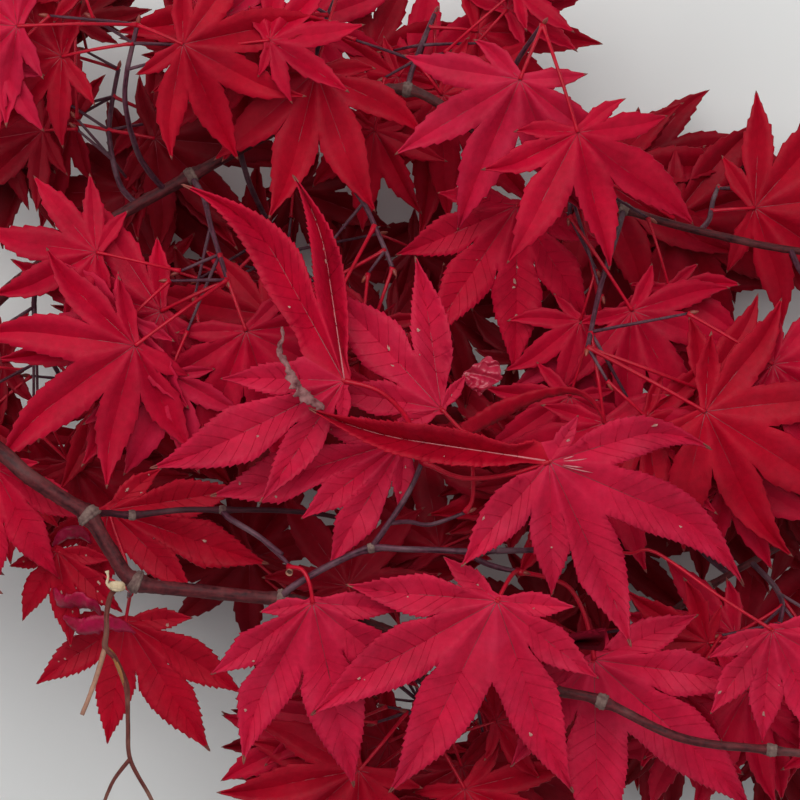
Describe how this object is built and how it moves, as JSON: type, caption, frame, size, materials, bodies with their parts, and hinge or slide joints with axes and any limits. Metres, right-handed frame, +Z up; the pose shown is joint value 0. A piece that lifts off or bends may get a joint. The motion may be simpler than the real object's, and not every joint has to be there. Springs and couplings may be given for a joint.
{
  "type": "maple branch",
  "caption": "Cut branch of a Japanese maple lying down: a thin tapering limb with side boughs and twigs, hung with sprays of deeply lobed, pointed crimson leaves on slender stalks.",
  "frame": {"origin": "middle of the bounding box in plan, at the level of the surface that the branch lies on", "axes": "+Z up, +X from the limb's cut end towards its tip, +Y across the branch towards the upper side of the crown as seen from above"},
  "size_m": [0.3168, 0.2724, 0.1563],
  "materials": {
    "bark": "matte purple-brown bark with grey-green rings at the joints",
    "dead_wood": "dry, dull, peeling",
    "husk": "dry, papery",
    "leaf": "satin crimson with a faint waxy bloom",
    "leaf_shaded": "satin deep red"
  },
  "bodies": {
    "root": {"main_limb": "bark", "back_bough": "bark", "low_bough": "bark", "front_twig": "bark", "rear_twig": "bark", "dead_twig": "dead_wood", "bud_husk": "husk", "leaves_centre": "leaf", "leaves_low_centre": "leaf", "leaves_right": "leaf", "leaves_low_left": "leaf", "leaves_hanging": "leaf", "leaves_left": "leaf_shaded", "leaves_left_middle": "leaf_shaded", "leaves_upper_left": "leaf_shaded", "leaves_upper_right": "leaf_shaded", "leaves_right_middle": "leaf_shaded", "leaves_top": "leaf_shaded", "leaves_centre_back": "leaf_shaded", "leaves_upper_middle": "leaf_shaded", "leaves_far_right": "leaf_shaded", "leaves_right_low": "leaf_shaded", "leaves_low_middle": "leaf_shaded", "leaves_deep_left": "leaf_shaded", "leaves_deep_upper_left": "leaf_shaded", "leaves_deep_top": "leaf_shaded", "leaves_far_upper_right": "leaf_shaded", "leaves_deep_right": "leaf_shaded", "leaves_deep_low": "leaf_shaded", "leaves_floor_centre": "leaf_shaded", "leaves_floor_right": "leaf_shaded", "leaves_floor_top": "leaf_shaded"}
  },
  "joints": []
}
